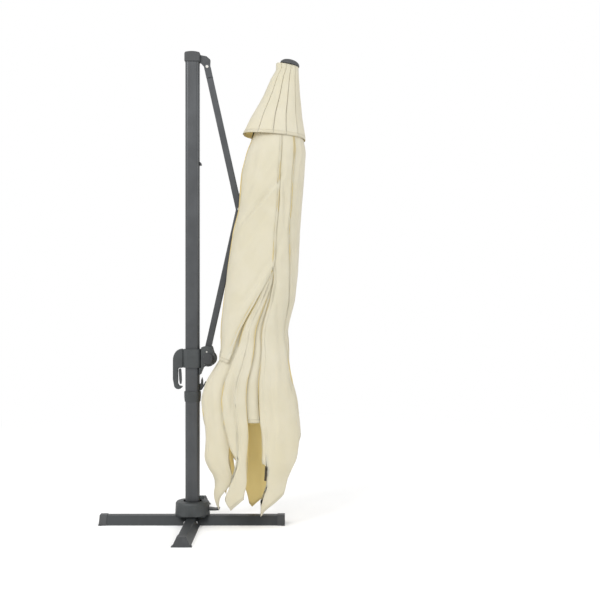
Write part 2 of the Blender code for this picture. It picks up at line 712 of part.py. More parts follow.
mean_x = sum(line[1].x for line in rib_lines.values()) / len(rib_lines)
hub_way = Vector((mean_x, 0.0, -1.0)).normalized()
lower_centre = Vector((crown_frame.translation.x, 0, crown_frame.translation.z))
lower_centre = lower_centre + hub_way * (stretcher_seat + stretcher_length + crown_height * 0.5)
lower_frame = along_line(lower_centre, lower_centre - hub_way)
lower_profile = [(0.0, -lower_hub_height), (0.012, -lower_hub_height), (0.020, -lower_hub_height + 0.010),
                 (lower_hub_radius, -0.022), (lower_hub_radius, -0.014), (0.016, -0.014), (0.016, 0.016),
                 (0.0, 0.016)]
add_object("lower_hub", placed(turned(lower_profile, (0, 0, 0), steps=24), lower_frame), "dark_plastic", arm)

stretcher_ring = 0.016 + touch_gap * 3 + stretcher_thickness / 2
for name, (root, way, length, out) in rib_lines.items():
    low = lower_frame @ (out * stretcher_ring + Vector((0, 0, -0.014 + touch_gap + 0.002)))
    seat = root + way * stretcher_seat
    inward = (low - seat)
    inward = (inward - way * inward.dot(way)).normalized()
    high = seat + inward * (rib_radial / 2 + stretcher_thickness / 2 + 0.0015)
    bar = rounded_box(stretcher_thickness / 2, stretcher_width / 2, 0.001, 1)
    side_hint = Vector((-out.y, out.x, 0.0))
    solid = placed(prism(bar, 0.0, (high - low).length), along_line(low, high, side_hint))
    add_object(f"stretcher_{name}", solid, "rib_steel", arm)

# ---- cloth --------------------------------------------------------------------------------
# The closed canopy's outline: share of the drop, left edge and right edge from the hub in X,
# half depth in Y, half width of the gap towards the mast, and half width of the gap opposite.
canopy_form = np.array([
    (0.009, -0.056, 0.050, 0.048, 0.018, seam),
    (0.028, -0.082, 0.052, 0.062, 0.018, seam),
    (0.065, -0.118, 0.058, 0.088, 0.018, seam),
    (0.115, -0.172, 0.070, 0.120, 0.018, seam),
    (0.158, -0.200, 0.086, 0.146, 0.018, seam),
    (0.195, -0.224, 0.090, 0.150, 0.020, seam),
    (0.242, -0.252, 0.082, 0.152, 0.024, seam),
    (0.328, -0.270, 0.066, 0.160, 0.032, seam),
    (0.373, -0.304, 0.058, 0.164, 0.036, seam),
    (0.461, -0.336, 0.048, 0.176, 0.044, seam),
    (0.528, -0.355, 0.030, 0.186, 0.050, seam),
    (0.578, -0.368, 0.000, 0.192, 0.055, seam),
    (0.600, -0.372, -0.010, 0.195, 0.058, 0.010),
    (0.640, -0.372, 0.000, 0.200, 0.060, 0.052),
    (0.670, -0.395, 0.010, 0.204, 0.060, 0.058),
    (0.706, -0.450, 0.024, 0.208, 0.060, 0.060),
    (0.747, -0.478, 0.045, 0.214, 0.060, 0.060),
    (0.822, -0.455, 0.059, 0.222, 0.060, 0.060),
    (0.881, -0.455, 0.044, 0.220, 0.060, 0.060),
    (0.924, -0.395, -0.009, 0.210, 0.060, 0.060),
    (0.975, -0.355, -0.030, 0.185, 0.060, 0.060),
    (1.000, -0.320, -0.070, 0.160, 0.062, 0.062),
])
around = 20


def cloth_ring(row, z, side, inset, steps):
    """One level of the cover's outline, from the gap at -X round the side to the gap at +X."""
    left, right, depth, gap_left, gap_right = row
    t = np.linspace(0.0, math.pi, steps + 1)
    middle, half = (left + right) / 2, (right - left) / 2
    gap = gap_left + (gap_right - gap_left) * (1 - np.cos(t)) / 2
    x = hub.x + middle - (half - inset) * np.cos(t)
    y = side * (gap + (depth - inset - gap) * np.sin(t) ** 0.8)
    return [(float(a), float(b), z) for a, b in zip(x, y)]


def loft(levels, name):
    """Skins closed rings of equal length, one under the other, and closes both ends."""
    bm = bmesh.new()
    rings = [[bm.verts.new(p) for p in level] for level in levels]
    for upper, lower in zip(rings, rings[1:]):
        for i in range(len(upper)):
            j = (i + 1) % len(upper)
            bm.faces.new((upper[i], upper[j], lower[j], lower[i]))
    half = len(rings[0]) // 2
    for ring in (rings[0], rings[-1]):
        for i in range(half - 1):
            bm.faces.new((ring[i], ring[i + 1], ring[-i - 2], ring[-i - 1]))
    return add_object(name, bm, "sand_cloth", arm)


def cover_half(name, side):
    levels = []
    for share, *row in canopy_form:
        z = hub.z - share * cloth_drop
        row = np.array(row)
        under_vent = 1.0 if share * cloth_drop < vent_drop else 0.0
        row[:3] += under_vent * (vent_gap + cloth_thickness) * np.array((1, -1, -1))
        outer = cloth_ring(row, z, side, 0.0, around)
        inner = cloth_ring(row, z, side, cloth_thickness, around)
        levels.append(outer + inner[::-1])
    loft(levels[1:], name)


def vent_flap():
    """The small upper cloth: both sides in one piece, open only where the arm comes in."""
    levels = []
    shares = [row[0] for row in canopy_form if row[0] * cloth_drop < vent_drop]
    for share, *row in canopy_form[:len(shares)]:
        z = hub.z - share * cloth_drop - vent_raise
        row = np.array(row)
        row[0] -= vent_flare * (share / shares[-1]) ** 1.8
        row[4] = 0.0
        walls = []
        for inset in (0.0, cloth_thickness):
            front = cloth_ring(row, z, -1, inset, around)
            rear = cloth_ring(row, z, 1, inset, around)
            walls.append(front + rear[-2::-1])
        levels.append(walls[0] + walls[1][::-1])
    loft(levels, "canopy_vent")


cover_half("canopy_front", -1)
cover_half("canopy_rear", 1)
vent_flap()

# ---- slider -------------------------------------------------------------------------------
liner = prism(rounded_box(liner_outer_x, liner_outer_y, mast_corner + liner_wall, 4),
              sleeve_low, sleeve_high,
              hole=rounded_box(mast_x + run_gap, mast_y + run_gap, mast_corner, 4))
add_object("glide_liner", liner, "dark_plastic", slider)
sleeve_hole = rounded_box(liner_outer_x + touch_gap, liner_outer_y + touch_gap, mast_corner + liner_wall, 4)
sleeve = prism(rounded_box(sleeve_x, sleeve_y, mast_corner + sleeve_wall, 4), sleeve_low, sleeve_high,
               hole=sleeve_hole)
add_object("slider_sleeve", sleeve, "grey_plastic", slider)

cheek_x = sleeve_x + touch_gap


def cheek_outline():
    """Side view of the housing: a flat shoulder, the round reel case and a tail down the mast."""
    top = [(cheek_x, heel_z + 0.024), (pivot_reach, heel_z + 0.032), (pivot_reach + 0.026, heel_z + 0.028)]
    case = arc(reel_x, reel_z, reel_radius, 48, -108, 14)
    tail_x = mast_x + run_gap * 2
    tail_top = sleeve_low - touch_gap * 2
    tail = [(cheek_x + 0.008, sleeve_low - 0.002), (tail_x + 0.003, sleeve_low - 0.040),
            (tail_x, sleeve_low - 0.040), (tail_x, tail_top), (cheek_x, tail_top)]
    return top + case + tail


for name, side in (("front", -1), ("rear", 1)):
    low, high = sorted((side * cheek_inner, side * cheek_outer))
    cheek = add_object(f"housing_{name}", prism(cheek_outline(), low, high, "Y"), "grey_plastic", slider)
    hole = rod((pivot_reach, -0.06, heel_z), (pivot_reach, 0.06, heel_z), pin_radius + touch_gap)
    cut(cheek, hole, slider)
    cut(cheek, rod((reel_x, -0.06, reel_z), (reel_x, 0.06, reel_z), bearing_radius), slider)
    inner, outer = sorted((side * 0.010, side * (cheek_inner + 0.018)))
    cut(cheek, rod((reel_x, inner, reel_z), (reel_x, outer, reel_z), drum_radius + drum_room, 20), slider)

heel_pin_half = cheek_outer - 0.004
heel_pin = rod((pivot_reach, -heel_pin_half, heel_z), (pivot_reach, heel_pin_half, heel_z), pin_radius)
add_object("heel_pin", heel_pin, "bright_steel", slider)


def grip():
    """Pistol grip on the mast's far side: a block, a finger bar and the slot of the trigger."""
    inner = -(sleeve_x + touch_gap)
    high = heel_z + grip_rise
    low = heel_z - grip_drop
    outer = grip_face
    under = heel_z - grip_under
    bar_inner = outer + grip_bar
    outline = [(inner, high - 0.002), (inner - 0.008, high)]
    outline += [(outer + 0.048 + 0.048 * math.cos(a), high - 0.062 + 0.062 * math.sin(a))
                for a in np.radians(np.linspace(95, 180, 8))]
    outline += [(outer, heel_z - 0.150), (outer + 0.006, heel_z - 0.182)]
    outline += [(outer + 0.030 + 0.024 * math.cos(a), low + 0.022 + 0.022 * math.sin(a))
                for a in np.radians(np.linspace(200, 320, 6))]
    outline += [(outer + 0.054, heel_z - 0.190), (outer + 0.045, heel_z - 0.188),
                (bar_inner + 0.006, heel_z - 0.186), (bar_inner, heel_z - 0.174), (bar_inner, under - 0.002),
                (bar_inner + 0.004, under + 0.008), (inner - 0.006, under + 0.008), (inner, under + 0.012)]
    obj = add_object("grip", prism(outline, -grip_half, grip_half, "Y"), "grey_plastic", slider)
    soften(obj, 0.004, 2)
    slot_low, slot_high = heel_z - 0.190, trigger_axis.z + 0.016
    slot = [(trigger_axis.x - 0.0095, under - 0.010), (trigger_axis.x + 0.013, under - 0.010),
            (trigger_axis.x + 0.013, slot_high), (trigger_axis.x - 0.0095, slot_high)]
    slot_half = trigger_half + trigger_room
    cut(obj, prism(slot, -slot_half, slot_half, "Y"), slider)


grip()
trigger_wall = trigger_axis.z - trigger_length
trigger_outline = arc(trigger_axis.x, trigger_axis.z, 0.0070, 180, 0, 6) + [
    (trigger_axis.x + 0.0090, trigger_axis.z - 0.030), (trigger_axis.x + 0.0100, trigger_axis.z - 0.055),
    (trigger_axis.x + 0.0080, trigger_wall), (trigger_axis.x, trigger_wall - 0.002),
    (trigger_axis.x - 0.0040, trigger_axis.z - 0.055), (trigger_axis.x - 0.0050, trigger_axis.z - 0.030),
]
add_object("release_trigger", prism(trigger_outline, -trigger_half, trigger_half, "Y"), "dark_plastic", trigger)

# Winch: disc and shaft in one, the drum on it between the cheeks, and the free knob
shaft_end = cheek_outer - 0.006
disc_profile = [(0.0, crank_face - crank_thickness), (crank_radius - 0.003, crank_face - crank_thickness),
                (crank_radius, crank_face - crank_thickness + 0.003), (crank_radius, crank_face),
                (shaft_radius, crank_face), (shaft_radius, shaft_end), (0.0, shaft_end)]


def y_turned(profile, x, z, steps):
    """Profile of (radius, y) points round a line along Y."""
    return turned([(r, -y) for r, y in profile], (x, 0, z), "Y", steps)


crank_disc = add_object("crank_disc", y_turned(disc_profile, reel_x, reel_z, 28), "dark_plastic", crank)
knob_x = reel_x + knob_offset
cut(crank_disc, rod((knob_x, crank_face - 0.02, reel_z), (knob_x, crank_face - 0.0025, reel_z),
                    spindle_radius + 0.0006), crank)
drum_half = cheek_inner - run_gap
drum_bore = shaft_radius + touch_gap
drum_flange = 0.002
drum_profile = [(drum_bore, -drum_half), (drum_radius, -drum_half), (drum_radius, -drum_half + drum_flange),
                (drum_core, -drum_half + 2 * drum_flange), (drum_core, drum_half - 2 * drum_flange),
                (drum_radius, drum_half - drum_flange), (drum_radius, drum_half), (drum_bore, drum_half)]
add_object("winch_drum", y_turned(drum_profile, reel_x, reel_z, 20), "dark_plastic", crank)
knob_face = crank_face - crank_thickness - run_gap
knob_profile = [(0.0, crank_face - 0.0035), (spindle_radius, crank_face - 0.0035), (spindle_radius, knob_face),
                (knob_radius - 0.001, knob_face), (knob_radius, knob_face - 0.003),
                (knob_radius, knob_face - knob_length + 0.004), (knob_radius - 0.003, knob_face - knob_length),
                (0.0, knob_face - knob_length)]
add_object("crank_knob", y_turned(knob_profile, knob_x, reel_z, 16), "dark_plastic", knob)
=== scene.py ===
import json
import math

import bpy
import numpy as np
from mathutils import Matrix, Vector


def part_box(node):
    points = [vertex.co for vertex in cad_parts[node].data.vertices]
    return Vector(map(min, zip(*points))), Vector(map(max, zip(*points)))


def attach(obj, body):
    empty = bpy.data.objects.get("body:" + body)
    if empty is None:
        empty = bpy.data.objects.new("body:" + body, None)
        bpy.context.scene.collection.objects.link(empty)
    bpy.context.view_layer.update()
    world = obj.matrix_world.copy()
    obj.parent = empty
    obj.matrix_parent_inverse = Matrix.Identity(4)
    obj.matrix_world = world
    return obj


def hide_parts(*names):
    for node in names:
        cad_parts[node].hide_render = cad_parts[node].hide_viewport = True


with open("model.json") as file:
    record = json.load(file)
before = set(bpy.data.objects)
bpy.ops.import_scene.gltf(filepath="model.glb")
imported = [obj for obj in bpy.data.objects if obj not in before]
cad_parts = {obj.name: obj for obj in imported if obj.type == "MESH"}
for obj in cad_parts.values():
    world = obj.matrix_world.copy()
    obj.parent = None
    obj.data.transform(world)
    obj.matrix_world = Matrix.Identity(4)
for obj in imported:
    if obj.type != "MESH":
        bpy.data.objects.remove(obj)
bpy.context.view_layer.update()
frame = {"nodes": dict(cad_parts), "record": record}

# A cantilever parasol with its canopy closed: pleated cloth, hems and fixings round the metal frame.
# Metres, +Z up, with the mast's axis at the origin and the arm towards +X.
nodes = frame["nodes"]
print("frame loaded:", len(nodes), "nodes")

camera = {"at": (0.588, -5.24, 1.2253), "lens": 57.4}
cameraData = bpy.data.cameras.new("studioCamera")
cameraData.lens = camera["lens"]
cameraObject = bpy.data.objects.new("studioCamera", cameraData)
bpy.context.scene.collection.objects.link(cameraObject)
cameraObject.location = camera["at"]
cameraObject.rotation_euler = (math.pi / 2, 0, 0)  # level, looking along +Y
bpy.context.scene.camera = cameraObject
bpy.context.scene.view_settings.view_transform = "Standard"
print("camera set")


# A socket with arithmetic: each operator on it adds a Math node to its graph.
class Wire:
    def __init__(self, graph, socket):
        self.graph, self.socket = graph, socket

    def math(self, operation, *others):
        values = dict(enumerate((self,) + others))
        return self.graph.add("ShaderNodeMath", {"operation": operation}, values)

    def __add__(self, other):
        return self.math("ADD", other)

    __radd__ = __add__

    def __mul__(self, other):
        return self.math("MULTIPLY", other)

    __rmul__ = __mul__

    def __sub__(self, other):
        return self.math("SUBTRACT", other)

    def __rsub__(self, other):
        return self.graph.add("ShaderNodeMath", {"operation": "SUBTRACT"}, {0: other, 1: self})

    def __pow__(self, other):
        return self.math("POWER", other)

    def sine(self):
        return self.math("SINE")

    # 0 below low, 1 above high, and a smooth step between
    def step(self, low, high):
        return self.graph.add("ShaderNodeMapRange", {"interpolation_type": "SMOOTHSTEP"},
                              {"Value": self, "From Min": low, "From Max": high})


# A material's node tree. Every node comes from add: its type, its settings, then its sockets.
class Graph:
    def __init__(self, name):
        self.material = bpy.data.materials.new(name)
        self.material.use_nodes = True
        self.tree = self.material.node_tree
        self.tree.nodes.clear()

    def add(self, kind, settings=None, inputs=None, output=0):
        node = self.tree.nodes.new(kind)
        for key, value in (settings or {}).items():
            setattr(node, key, value)
        for key, value in (inputs or {}).items():
            if isinstance(value, Wire):
                self.tree.links.new(value.socket, node.inputs[key])
            else:
                node.inputs[key].default_value = value
        return Wire(self, node.outputs[output]) if node.outputs else None

    def mix(self, factor, first, second):
        first, second = [(*c, 1.0) if isinstance(c, tuple) else c for c in (first, second)]
        return self.add("ShaderNodeMix", {"data_type": "RGBA"}, {0: factor, 6: first, 7: second}, 2)

    def place(self):
        return self.add("ShaderNodeTexCoord", output="Object")

    def split(self, vector):
        first = self.add("ShaderNodeSeparateXYZ", None, {0: vector})
        return [Wire(self, socket) for socket in first.socket.node.outputs]

    def noise(self, vector, scale, detail=2.0, roughness=0.5):
        return self.add("ShaderNodeTexNoise", None,
                        {"Vector": vector, "Scale": scale, "Detail": detail, "Roughness": roughness}, "Fac")

    def stretched(self, vector, scale):
        return self.add("ShaderNodeMapping", None, {"Vector": vector, "Scale": scale})

    def bump(self, height, distance, strength=1.0, normal=None):
        inputs = {"Height": height, "Distance": distance, "Strength": strength}
        if normal:
            inputs["Normal"] = normal
        return self.add("ShaderNodeBump", None, inputs, "Normal")

    def surface(self, **inputs):
        sockets = {key.replace("_", " "): value for key, value in inputs.items()}
        return self.finish(self.add("ShaderNodeBsdfPrincipled", None, sockets))

    def finish(self, shader):
        self.add("ShaderNodeOutputMaterial", None, {0: shader})
        return self.material


# A colour times a factor.
def shade(color, factor):
    return tuple(c * factor for c in color)


powder = {"grain": 900.0, "cloud": 7.0, "streak": (30.0, 30.0, 1.4), "scuff": (60.0, 60.0, 9.0),
          "scuffColor": (0.16, 0.165, 0.17), "metallic": 0.25, "peelDepth": 0.00025, "cloudDepth": 0.0006}


# Powder coat: the colour, lighter in clouds and in upright streaks, grey where it is scuffed.
# Roughness is the sheen plus a little of the fine orange peel, the clouds and the scuffs.
def powderCoat(name, color, sheen=0.42):
    g = Graph(name)
    place = g.place()
    cloud = g.noise(place, powder["cloud"], 4.0)
    speck = g.noise(place, powder["grain"], 2.0)
    streak = g.noise(g.stretched(place, powder["streak"]), 1.0, 3.0)
    base = g.mix(cloud.step(0.35, 0.70), color, shade(color, 1.28))
    base = g.mix(streak.step(0.45, 0.75) * 0.35, base, shade(color, 1.5))
    scuff = g.noise(g.stretched(place, powder["scuff"]), 1.0, 5.0, 0.7).step(0.66, 0.74)
    base = g.mix(scuff * 0.30, base, powder["scuffColor"])
    rough = speck * 0.10 + cloud * 0.16 + sheen - 0.10 + scuff * 0.10
    normal = g.bump(cloud, powder["cloudDepth"], 0.4)
    normal = g.bump(speck, powder["peelDepth"], 0.5, normal)
    return g.surface(Base_Color=base, Roughness=rough, Metallic=powder["metallic"], Normal=normal)


moulded = {"grain": 1500.0, "cloud": 16.0, "rub": 55.0, "rough": 0.52, "grainDepth": 0.00018}


# Moulded plastic: a grain of fine cells, with lighter, smoother patches where hands rub it.
def mouldedPlastic(name, color):
    g = Graph(name)
    place = g.place()
    cells = g.add("ShaderNodeTexVoronoi", None, {"Vector": place, "Scale": moulded["grain"]}, "Distance")
    cloud = g.noise(place, moulded["cloud"], 3.0)
    base = g.mix(cloud.step(0.35, 0.68), color, shade(color, 1.32))
    rubbed = g.noise(place, moulded["rub"], 4.0, 0.65).step(0.60, 0.72)
    base = g.mix(rubbed * 0.25, base, shade(color, 2.0))
    rough = cells * 0.12 + cloud * 0.14 + moulded["rough"] - 0.12 - rubbed * 0.06
    return g.surface(Base_Color=base, Roughness=rough, Normal=g.bump(cells, moulded["grainDepth"], 0.45))


plated = {"rings": (40.0, 900.0, 900.0), "cloud": 60.0, "rough": 0.24, "ringDepth": 0.0001}


# Zinc plate on turned steel: two tones in clouds, and fine rings in the roughness and the bump.
def zincSteel(name, dull, lit):
    g = Graph(name)
    place = g.place()
    rings = g.noise(g.stretched(place, plated["rings"]), 1.0, 3.0)
    cloud = g.noise(place, plated["cloud"], 3.0)
    base = g.mix(cloud.step(0.35, 0.7), dull, lit)
    return g.surface(Base_Color=base, Roughness=rings * 0.18 + plated["rough"], Metallic=1.0,
                     Normal=g.bump(rings, plated["ringDepth"], 0.4))


woven = {"threads": 900.0,  # per metre, each way
         "slub": (1500.0, 14.0, 1.0), "slubAcross": (14.0, 1500.0, 1.0), "crumple": 9.0, "broadShade": 2.6,
         "stitch": 0.0045,  # from one stitch to the next
         "threadHalf": (0.0004, 0.0010), "rough": 0.80, "sheen": 0.25, "sheenRough": 0.5,
         "crumpleDepth": 0.012, "slubDepth": 0.0006, "weaveDepth": 0.0003}


# Plain weave: the product of two sine waves along the piece's own UV, which is in metres, with slub
# both ways, soft crumples and rows of stitches. The colour runs from deep, a painted shade tone, to lit,
# a painted lit tone, by the crumples and by broad random blotches: painted shade in their hollows and
# painted light on their crests. A share of the light, through, comes from behind.
def clothMaterial(name, lit, deep, through=0.35, paintedGlow=0.0, stitches=()):
    g = Graph(name)
    along = g.add("ShaderNodeUVMap", {"uv_map": "cut"})
    u, v, _ = g.split(along)
    place = g.place()
    pitch = woven["threads"] * 2 * math.pi
    weave = (u * pitch).sine() * (v * pitch).sine() * 0.5 + 0.5
    slub = g.noise(g.stretched(along, woven["slub"]), 1.0)
    slub = slub + g.noise(g.stretched(along, woven["slubAcross"]), 1.0)
    crumple = g.noise(place, woven["crumple"], 5.0, 0.55)
    broadShade = g.noise(place, woven["broadShade"], 4.0)
    # painted shade: the colour goes towards deep in the crumples' hollows and in broad random blotches,
    # towards lit on the crests
    color = g.mix(crumple.step(0.30, 0.72) * 0.5 + broadShade.step(0.35, 0.75) * 0.5, deep, lit)
    color = g.mix(slub.step(0.85, 1.25) * 0.22, color, shade(lit, 0.90))
    color = g.mix(weave * 0.10, color, shade(lit, 0.80))
    for row in stitches:
        dash = (u * (2 * math.pi / woven["stitch"])).sine().step(-0.3, 0.2)
        thread = (1 - (v - row).math("ABSOLUTE").step(*woven["threadHalf"])) * dash
        color = g.mix(thread * 0.55, color, shade(deep, 0.62))
    normal = g.bump(crumple, woven["crumpleDepth"], 0.35)
    normal = g.bump(slub, woven["slubDepth"], 0.35, normal)
    normal = g.bump(weave, woven["weaveDepth"], 0.30, normal)
    # Emission here is painted light: the cloth gives off its lit colour though it is no lamp.
    front = g.add("ShaderNodeBsdfPrincipled", None,
                  {"Base Color": color, "Roughness": crumple * 0.12 + woven["rough"], "Normal": normal,
                   "Sheen Weight": woven["sheen"], "Sheen Roughness": woven["sheenRough"],
                   "Emission Color": (*lit, 1.0), "Emission Strength": paintedGlow})
    back = g.add("ShaderNodeBsdfTranslucent", None, {"Color": (*shade(deep, 0.95), 1.0)})
    return g.finish(g.add("ShaderNodeMixShader", None, {0: through, 1: front, 2: back}))


finishes = {"stand_steel": powderCoat("standPowderCoat", (0.017, 0.020, 0.022)),
            "mast_aluminium": powderCoat("mastPowderCoat", (0.048, 0.051, 0.054), sheen=0.36),
            "fitting_steel": powderCoat("fittingPowderCoat", (0.040, 0.043, 0.046)),
            "cap_plastic": mouldedPlastic("capPlastic", (0.032, 0.034, 0.036)),
            "grey_plastic": mouldedPlastic("housingPlastic", (0.032, 0.036, 0.037)),
            "bright_steel": zincSteel("zincSteel", (0.50, 0.50, 0.49), (0.64, 0.62, 0.56)),
            "rib_aluminium": powderCoat("ribCoat", (0.075, 0.062, 0.046))}
# Each cloth gets a lit tone and a darker tone, deep, which is its painted shade.
outerCloth = clothMaterial("sandCloth", (0.765, 0.735, 0.615), (0.70, 0.665, 0.515))
# The underside's bright ochre tones and its emission are painted light shining through the cloth.
underCloth = clothMaterial("sandClothUnderside", (0.90, 0.78, 0.42), (0.84, 0.70, 0.33),
                           through=0.55, paintedGlow=0.13)
# The hem's tones are darker than the main cloth's: painted shade along the hem.
hemCloth = clothMaterial("sandHem", (0.72, 0.685, 0.56), (0.66, 0.62, 0.47), stitches=(0.003, 0.016))
blackZinc = zincSteel("blackZinc", (0.11, 0.11, 0.115), (0.20, 0.20, 0.19))

for row in frame["record"]["subparts"]:
    if row["material_slot"] in finishes:  # the cloth shells are replaced further down
        node = nodes[row["node"]]
        node.data.materials.clear()
        node.data.materials.append(finishes[row["material_slot"]])
print("materials set")


# A mesh object at the origin from points and faces, with its uv in metres when it has one.
def makeMesh(name, points, faces, materials, smooth=True, uv=None):
    mesh = bpy.data.meshes.new(name)
    mesh.from_pydata(points.reshape(-1, 3).tolist(), [], np.asarray(faces).tolist())
    for material in materials:
        mesh.materials.append(material)
    if uv is not None:
        layer = mesh.uv_layers.new(name="cut")
        loops = np.empty(len(mesh.loops), np.int32)
        mesh.loops.foreach_get("vertex_index", loops)
        layer.data.foreach_set("uv", uv.reshape(-1, 2)[loops].astype(np.float32).ravel())
    if smooth:
        mesh.shade_smooth()
    mesh.update()
    obj = bpy.data.objects.new(name, mesh)
    bpy.context.scene.collection.objects.link(obj)
    return obj


# The quads of a grid of rows by columns, joined round when wrap is set.
def gridFaces(rows, columns, wrap=False, flip=False):
    r, c = np.meshgrid(np.arange(rows - 1), np.arange(columns if wrap else columns - 1), indexing="ij")
    right = (c + 1) % columns
    here, below = r * columns, (r + 1) * columns
    quads = np.stack([here + c, here + right, below + right, below + c], -1).reshape(-1, 4)
    return quads[:, ::-1] if flip else quads


# The cover's outline at each height comes from the CAD shells, which are stacks of level rings.
# It is cut into faces, and a share is a place between the mast side (0) and the far side (1).
cover = {"flat": (4.0, 1.5), "flatArea": 5.6, "thickness": 0.0012, "hemWidth": 0.020, "hemLift": 0.0010,
         "rows": 108, "steps": 3,  # rows of quads, and columns for each control column
         "levels": 420, "lowest": 0.055, "outlineWidth": 15, "tuckWidth": 9, "roundness": 0.8,
         "coreShare": 0.55, "coreClear": 0.004,  # the core, towards which the folds dive
         "toothReach": 0.74, "flankReach": 0.60, "innerReach": 0.14, "scatter": 0.05, "bag": 0.030,
         "faceWeight": (0.25, 0.75), "foldWeight": 0.2,  # ripples at an edge, more in the middle, in a fold
         "calmFrom": 0.85, "calmOver": 0.30, "calmReach": (0.988, 1.0, 1.0),  # folds lie flat higher up
         "tuckFrom": 1.36, "tuckOver": 0.10, "ripple": 0.0026}


# For each level of a lofted shell: height, lowest and highest x, depth, and the gaps to its mirror
# half at the mast side and at the far side.
def levelRings(node):
    points = np.array([v.co for v in nodes[node].data.vertices])
    rows = []
    for z in np.unique(np.round(points[:, 2], 4))[::-1]:
        ring = points[np.abs(points[:, 2] - z) < 2e-4]
        deep = np.abs(ring[:, 1])
        left, right = ring[:, 0].min(), ring[:, 0].max()
        gapLeft = deep[ring[:, 0] < left + 1e-4].min()
        gapRight = deep[ring[:, 0] > right - 1e-4].min()
        rows.append((z, left, right, deep.max(), gapLeft, gapRight))
    return np.array(rows)


# Moving average under a Hann window, with the ends held.
def smoothed(values, width):
    kernel = np.hanning(width + 2)[1:-1]
    kernel /= kernel.sum()
    held = np.concatenate([np.full(width // 2, values[0]), values, np.full(width // 2, values[-1])])
    return np.convolve(held, kernel, "valid")


# Catmull-Rom curve through the control rows: between b and c a point is half of
# 2b + (c - a) t + (2a - 5b + 4c - d) t^2 + (3b - a - 3c + d) t^3.
def throughPoints(control, steps):
    longer = np.concatenate([2 * control[:1] - control[1:2], control, 2 * control[-1:] - control[-2:-1]])
    t = np.linspace(0, 1, steps, endpoint=False).reshape((steps,) + (1,) * (control.ndim - 1))
    runs = []
    for i in range(len(control) - 1):
        a, b, c, d = longer[i:i + 4]
        runs.append(0.5 * (2 * b + (c - a) * t + (2 * a - 5 * b + 4 * c - d) * t ** 2
                           + (3 * b - a - 3 * c + d) * t ** 3))
    return np.concatenate(runs + [control[-1:]])


# A sum of sine waves over x and z with random slants and phases, about -1 to 1.
def smoothNoise(x, z, seed, waves, scale, lean=0.28):
    rng = np.random.default_rng(seed)
    total = np.zeros_like(x)
    for _ in range(waves):
        frequency = scale * rng.uniform(0.5, 1.8)
        slope = rng.normal(0, lean)
        total += np.sin(frequency * 2 * math.pi * (x + slope * z) + rng.uniform(0, 2 * math.pi)) / frequency
    return total * scale / waves ** 0.5


# Level sections of a gathered cloth, from the outline of a CAD shell.
class Bundle:
    def __init__(self, node, top, low):
        rings = levelRings(node)
        self.z = np.linspace(top, low, cover["levels"])
        size = [smoothed(np.interp(-self.z, -rings[:, 0], rings[:, i]), cover["outlineWidth"])
                for i in range(1, 6)]
        self.left, self.right, self.depth, self.gapLeft, self.gapRight = size
        tucked = np.clip((self.z - cover["tuckFrom"]) / cover["tuckOver"], 0, 1)
        self.tucked = smoothed(tucked, cover["tuckWidth"])
        self.calm = np.clip((self.z - cover["calmFrom"]) / cover["calmOver"], 0, 1)

    # A size that changes with height: linear between (height, value) stops, then smoothed.
    def overHeight(self, *stops, width=21):
        z, value = np.array(sorted(stops, reverse=True)).T
        return smoothed(np.interp(-self.z, -z, value), width)

    # The outline at a share: x is linear in it, and y is the gap plus the rest of the depth times
    # the sine of phi to the power of the roundness, where the share is half of 1 - cos(phi).
    def boundary(self, share, side):
        share = np.clip(share, 0.0, 1.0)
        phi = np.arccos(1 - 2 * share)
        gap = self.gapLeft + (self.gapRight - self.gapLeft) * share
        x = self.left + (self.right - self.left) * share
        return x, side * (gap + (self.depth - gap) * np.sin(phi) ** cover["roundness"])

    # The point at reach of the way from the core, which lies beside the gap, to the outline.
    def point(self, share, side, reach):
        edgeX, edgeY = self.boundary(share, side)
        middle = (self.left + self.right) / 2
        coreX = middle + (edgeX - middle) * cover["coreShare"]
        gap = self.gapLeft + (self.gapRight - self.gapLeft) * np.clip(share, 0, 1)
        coreY = side * (gap + cover["coreClear"])
        return np.stack([coreX + (edgeX - coreX) * reach, coreY + (edgeY - coreY) * reach], -1)


# Control columns of one half, with the height of each one's hem and its weight for ripples. A level
# section runs over broad faces on the outline, and dives between them towards the core in narrow
# folds, as cloth gathered between ribs does. A face is a dictionary: its edges as shares at each
# height, its hem as (share of its width, height) stops, its reach at the mast side, in the middle and
# at the far side, and its count of columns. Edges that cross make one face lap over the next.
def pleats(bundle, side, faces, teeth, seed):
    rng = np.random.default_rng(seed)
    columns, ends, weights = [], [], []
    edgeWeight, bowWeight = cover["faceWeight"]
    dive = (cover["toothReach"], cover["flankReach"], cover["innerReach"], cover["flankReach"])
    for here, after in zip(faces, faces[1:] + [None]):
        low, high = here["low"], here["high"]
        hemShare, hemHeight = np.array(here["hem"]).T
        calm = bundle.tucked if "tucked" in here else bundle.calm
        upper = (here["tucked"],) * 3 if "tucked" in here else cover["calmReach"]
        first, middle, last = [a * (1 - calm) + b * calm for a, b in zip(here["reach"], upper)]
        for share in 0.5 - 0.5 * np.cos(np.linspace(0, math.pi, here["columns"])):
            bow = 4 * share * (1 - share)
            reach = first + (last - first) * share + (middle - (first + last) / 2) * bow
            columns.append(bundle.point(low + (high - low) * share, side, reach))
            ends.append(np.interp(share, hemShare, hemHeight))
            weights.append(edgeWeight + bowWeight * bow)
        if after is None:
            break
        foldEnd = max(ends[-1], after["hem"][0][1])
        centre = (high + after["low"]) / 2
        for step in range(1, teeth * 4):
            spread = (step / (teeth * 4) - 0.5) * 2 * cover["bag"]
            reach = dive[step % 4] + rng.uniform(-cover["scatter"], cover["scatter"])
            columns.append(bundle.point(centre + spread, side, reach))
            ends.append(foldEnd)
            weights.append(cover["foldWeight"])
    return columns, ends, weights


